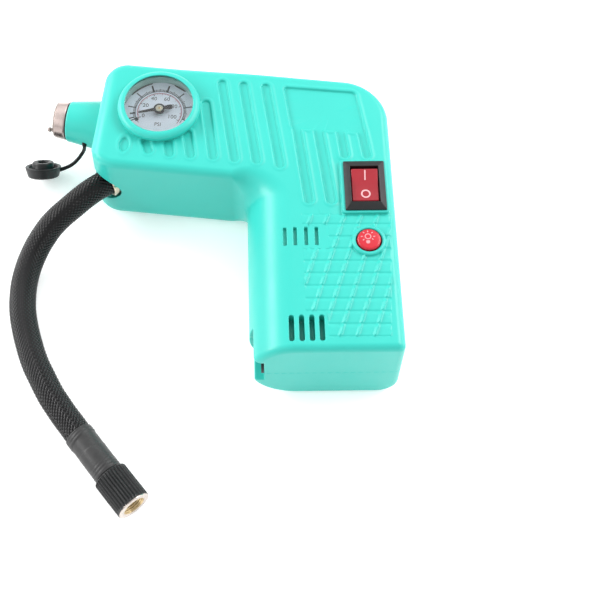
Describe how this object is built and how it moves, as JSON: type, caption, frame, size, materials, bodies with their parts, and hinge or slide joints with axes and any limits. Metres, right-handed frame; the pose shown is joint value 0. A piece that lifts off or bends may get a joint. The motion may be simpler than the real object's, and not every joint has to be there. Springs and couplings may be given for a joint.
{
  "type": "portable tire inflator",
  "caption": "Pistol-shaped electric tire inflator with a dial gauge, rocker switch, nose lamp, tethered cap and an air hose ending in a screw-on valve chuck.",
  "frame": {"origin": "on the surface that the rear face lies on, under the centre of the housing, nose and cap (the hose left out)", "axes": "+X along the barrel away from the nose, +Y across the barrel away from the handle, +Z out of the front face"},
  "size_m": [0.154, 0.1735, 0.042],
  "materials": {
    "teal_plastic": "moulded ABS, satin gloss",
    "steel": "zinc plated",
    "nickel": "satin nickel plate",
    "clear_plastic": "clear moulded",
    "reflector": "bright",
    "white_ceramic": "matt",
    "dark_metal": "matt black",
    "dial_print": "printed white enamel",
    "black_paint": "matt",
    "brass": "turned",
    "black_plastic": "fine spark texture",
    "red_plastic": "translucent, satin",
    "hose_braid": "glossy woven braid with pale flecks",
    "heat_shrink": "smooth shrink tube",
    "black_rubber": "moulded",
    "armature_steel": "lamination stack",
    "nylon": "natural nylon",
    "cast_aluminium": "die cast",
    "wire_jacket": "PVC"
  },
  "bodies": {
    "housing": {"front_shell": "teal_plastic", "rear_shell": "teal_plastic", "housing_screws": "steel", "nose_sleeve": "teal_plastic", "lamp_bezel": "nickel", "bezel_stud": "nickel", "lamp_lens": "clear_plastic", "lamp_reflector": "reflector", "lamp_led": "white_ceramic", "dust_cap": "black_rubber", "cap_strap": "black_rubber", "gauge_case": "dark_metal", "gauge_dial": "dial_print", "gauge_lens": "clear_plastic", "bourdon_tube": "brass", "gauge_stem": "brass", "switch_frame": "black_plastic", "switch_terminals": "brass", "button_body": "black_plastic", "button_spring": "steel", "hose_fitting": "nickel", "hose": "hose_braid", "hose_sleeve": "heat_shrink", "chuck_stem": "brass", "depressor_pin": "brass", "motor_can": "steel", "motor_endcap": "black_plastic", "motor_magnets": "dark_metal", "gear_axle": "steel", "compressor_frame": "cast_aluminium", "cylinder_barrel": "cast_aluminium", "cylinder_head": "cast_aluminium", "head_screws": "steel", "air_line": "black_rubber", "dc_jack": "black_plastic", "jack_pin": "nickel", "wiring": "wire_jacket"},
    "rocker": {"switch_rocker": "red_plastic"},
    "light_button": {"light_button": "red_plastic"},
    "needle": {"gauge_needle": "black_paint", "gauge_spindle": "nickel"},
    "chuck": {"chuck_nut": "black_plastic", "chuck_insert": "brass", "chuck_seal": "black_rubber"},
    "rotor": {"motor_armature": "armature_steel", "drive_pinion": "brass"},
    "crank_gear": {"drive_gear": "nylon"},
    "piston": {"piston": "cast_aluminium", "wrist_pin": "steel"},
    "rod": {"piston_rod": "cast_aluminium"}
  },
  "joints": [
    {"name": "rocker_tilt", "type": "hinge", "parent": "housing", "child": "rocker", "pos_m": [0.05838, 0.01059, 0.037], "axis": [-0.9923, -0.1236, 0], "range_deg": [0, 12]},
    {"name": "button_press", "type": "slide", "parent": "housing", "child": "light_button", "axis": [0, 0, -1], "range_m": [0, 0.0012], "stiffness_N_per_m": 400, "springref_m": -0.0006, "deforming": ["button_spring"]},
    {"name": "needle_sweep", "type": "hinge", "parent": "housing", "child": "needle", "pos_m": [-0.02256, 0.03775, 0.0382], "axis": [0, 0, 1], "range_deg": [-227, 0], "stiffness_Nm_per_rad": 0.00001, "springref_deg": 2.86},
    {"name": "chuck_spin", "type": "hinge", "parent": "housing", "child": "chuck", "pos_m": [-0.02226, -0.09905, 0.0067], "axis": [0.7108, -0.7034, 0], "continuous": true},
    {"name": "motor_spin", "type": "hinge", "parent": "housing", "child": "rotor", "pos_m": [0.03684, -0.01425, 0.019], "axis": [0, 1, 0], "continuous": true},
    {"name": "gear_spin", "type": "hinge", "parent": "housing", "child": "crank_gear", "pos_m": [0.01959, 0.01975, 0.019], "axis": [0, 1, 0], "continuous": true},
    {"name": "piston_slide", "type": "slide", "parent": "housing", "child": "piston", "axis": [-1, 0, 0], "range_m": [0, 0.01]},
    {"name": "rod_swing", "type": "hinge", "parent": "piston", "child": "rod", "pos_m": [0.00259, 0.02515, 0.019], "axis": [0, 1, 0], "range_deg": [-13, 13]}
  ],
  "couplings": [
    {"joint": "gear_spin", "follows": "motor_spin", "ratio": -0.35294}
  ]
}
